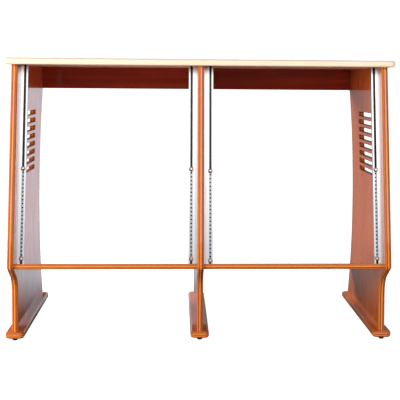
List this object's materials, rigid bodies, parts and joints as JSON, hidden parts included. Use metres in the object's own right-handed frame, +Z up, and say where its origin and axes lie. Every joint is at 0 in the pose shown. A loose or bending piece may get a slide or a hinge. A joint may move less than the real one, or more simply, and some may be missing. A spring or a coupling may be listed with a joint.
{
  "type": "rack stand",
  "caption": "Free-standing two-bay wooden stand for rack gear, with a worktop, sloping shelves and slotted aluminium tracks whose threaded rack strips slide and clamp.",
  "frame": {"origin": "on the floor, under the middle of the stand's width and depth", "axes": "+X to the right of someone facing the stand, +Y towards its back, +Z up"},
  "size_m": [1.088, 0.699, 0.79],
  "materials": {
    "maple_top": "satin clear lacquer",
    "cherry_ply": "gloss lacquer over cherry stain",
    "mahogany_rail": "gloss lacquer over dark mahogany stain",
    "anodised_track": "bright satin anodised",
    "zinc_strip": "zinc plated",
    "chrome_screw": "polished chrome",
    "black_glide": "matt moulded nylon",
    "steel_hardware": "bright zinc plated",
    "beech_dowel": "bare"
  },
  "bodies": {
    "stand": {"worktop": "maple_top", "left_panel": "cherry_ply", "centre_panel": "cherry_ply", "right_panel": "cherry_ply", "left_foot": "cherry_ply", "centre_foot": "cherry_ply", "right_foot": "cherry_ply", "left_back_rail": "mahogany_rail", "right_back_rail": "mahogany_rail", "left_shelf": "cherry_ply", "right_shelf": "cherry_ply", "track_1": "anodised_track", "track_2": "anodised_track", "track_3": "anodised_track", "track_4": "anodised_track", "foot_screws": "steel_hardware", "rail_dowels": "beech_dowel", "shelf_dowels": "beech_dowel", "track_screws": "steel_hardware", "top_brackets": "steel_hardware", "bracket_screws": "steel_hardware", "glide_inserts": "steel_hardware"},
    "strip_1": {"rack_strip_1": "zinc_strip"},
    "clamp_1_lower": {"clamp_screw_1_lower": "chrome_screw"},
    "clamp_1_upper": {"clamp_screw_1_upper": "chrome_screw"},
    "strip_2": {"rack_strip_2": "zinc_strip"},
    "clamp_2_lower": {"clamp_screw_2_lower": "chrome_screw"},
    "clamp_2_upper": {"clamp_screw_2_upper": "chrome_screw"},
    "strip_3": {"rack_strip_3": "zinc_strip"},
    "clamp_3_lower": {"clamp_screw_3_lower": "chrome_screw"},
    "clamp_3_upper": {"clamp_screw_3_upper": "chrome_screw"},
    "strip_4": {"rack_strip_4": "zinc_strip"},
    "clamp_4_lower": {"clamp_screw_4_lower": "chrome_screw"},
    "clamp_4_upper": {"clamp_screw_4_upper": "chrome_screw"},
    "glide_left_front": {"glide_left_front": "black_glide", "glide_stud_left_front": "steel_hardware"},
    "glide_left_rear": {"glide_left_rear": "black_glide", "glide_stud_left_rear": "steel_hardware"},
    "glide_centre_front": {"glide_centre_front": "black_glide", "glide_stud_centre_front": "steel_hardware"},
    "glide_centre_rear": {"glide_centre_rear": "black_glide", "glide_stud_centre_rear": "steel_hardware"},
    "glide_right_front": {"glide_right_front": "black_glide", "glide_stud_right_front": "steel_hardware"},
    "glide_right_rear": {"glide_right_rear": "black_glide", "glide_stud_right_rear": "steel_hardware"}
  },
  "joints": [
    {"name": "strip_1_slide", "type": "slide", "parent": "stand", "child": "strip_1", "axis": [0, 0.1736, 0.9848], "range_m": [-0.007, 0.27]},
    {"name": "clamp_1_lower_turn", "type": "hinge", "parent": "strip_1", "child": "clamp_1_lower", "pos_m": [-0.49155, -0.3184, 0.23984], "axis": [0, -0.9848, 0.1736], "range_deg": [0, 360]},
    {"name": "clamp_1_upper_turn", "type": "hinge", "parent": "strip_1", "child": "clamp_1_upper", "pos_m": [-0.49155, -0.27526, 0.48447], "axis": [0, -0.9848, 0.1736], "range_deg": [0, 360]},
    {"name": "strip_2_slide", "type": "slide", "parent": "stand", "child": "strip_2", "axis": [0, 0.1736, 0.9848], "range_m": [-0.007, 0.27]},
    {"name": "clamp_2_lower_turn", "type": "hinge", "parent": "strip_2", "child": "clamp_2_lower", "pos_m": [-0.02645, -0.3184, 0.23984], "axis": [0, -0.9848, 0.1736], "range_deg": [0, 360]},
    {"name": "clamp_2_upper_turn", "type": "hinge", "parent": "strip_2", "child": "clamp_2_upper", "pos_m": [-0.02645, -0.27526, 0.48447], "axis": [0, -0.9848, 0.1736], "range_deg": [0, 360]},
    {"name": "strip_3_slide", "type": "slide", "parent": "stand", "child": "strip_3", "axis": [0, 0.1736, 0.9848], "range_m": [-0.002, 0.275]},
    {"name": "clamp_3_lower_turn", "type": "hinge", "parent": "strip_3", "child": "clamp_3_lower", "pos_m": [0.02645, -0.31927, 0.23492], "axis": [0, -0.9848, 0.1736], "range_deg": [0, 360]},
    {"name": "clamp_3_upper_turn", "type": "hinge", "parent": "strip_3", "child": "clamp_3_upper", "pos_m": [0.02645, -0.27613, 0.47954], "axis": [0, -0.9848, 0.1736], "range_deg": [0, 360]},
    {"name": "strip_4_slide", "type": "slide", "parent": "stand", "child": "strip_4", "axis": [0, 0.1736, 0.9848], "range_m": [-0.007, 0.27]},
    {"name": "clamp_4_lower_turn", "type": "hinge", "parent": "strip_4", "child": "clamp_4_lower", "pos_m": [0.49155, -0.3184, 0.23984], "axis": [0, -0.9848, 0.1736], "range_deg": [0, 360]},
    {"name": "clamp_4_upper_turn", "type": "hinge", "parent": "strip_4", "child": "clamp_4_upper", "pos_m": [0.49155, -0.27526, 0.48447], "axis": [0, -0.9848, 0.1736], "range_deg": [0, 360]},
    {"name": "glide_left_front_turn", "type": "hinge", "parent": "stand", "child": "glide_left_front", "pos_m": [-0.518, -0.25853, 0], "axis": [0, 0, 1], "range_deg": [0, 1800]},
    {"name": "glide_left_rear_turn", "type": "hinge", "parent": "stand", "child": "glide_left_rear", "pos_m": [-0.518, 0.27947, 0], "axis": [0, 0, 1], "range_deg": [0, 1800]},
    {"name": "glide_centre_front_turn", "type": "hinge", "parent": "stand", "child": "glide_centre_front", "pos_m": [0, -0.25853, 0], "axis": [0, 0, 1], "range_deg": [0, 1800]},
    {"name": "glide_centre_rear_turn", "type": "hinge", "parent": "stand", "child": "glide_centre_rear", "pos_m": [0, 0.27947, 0], "axis": [0, 0, 1], "range_deg": [0, 1800]},
    {"name": "glide_right_front_turn", "type": "hinge", "parent": "stand", "child": "glide_right_front", "pos_m": [0.518, -0.25853, 0], "axis": [0, 0, 1], "range_deg": [0, 1800]},
    {"name": "glide_right_rear_turn", "type": "hinge", "parent": "stand", "child": "glide_right_rear", "pos_m": [0.518, 0.27947, 0], "axis": [0, 0, 1], "range_deg": [0, 1800]}
  ]
}
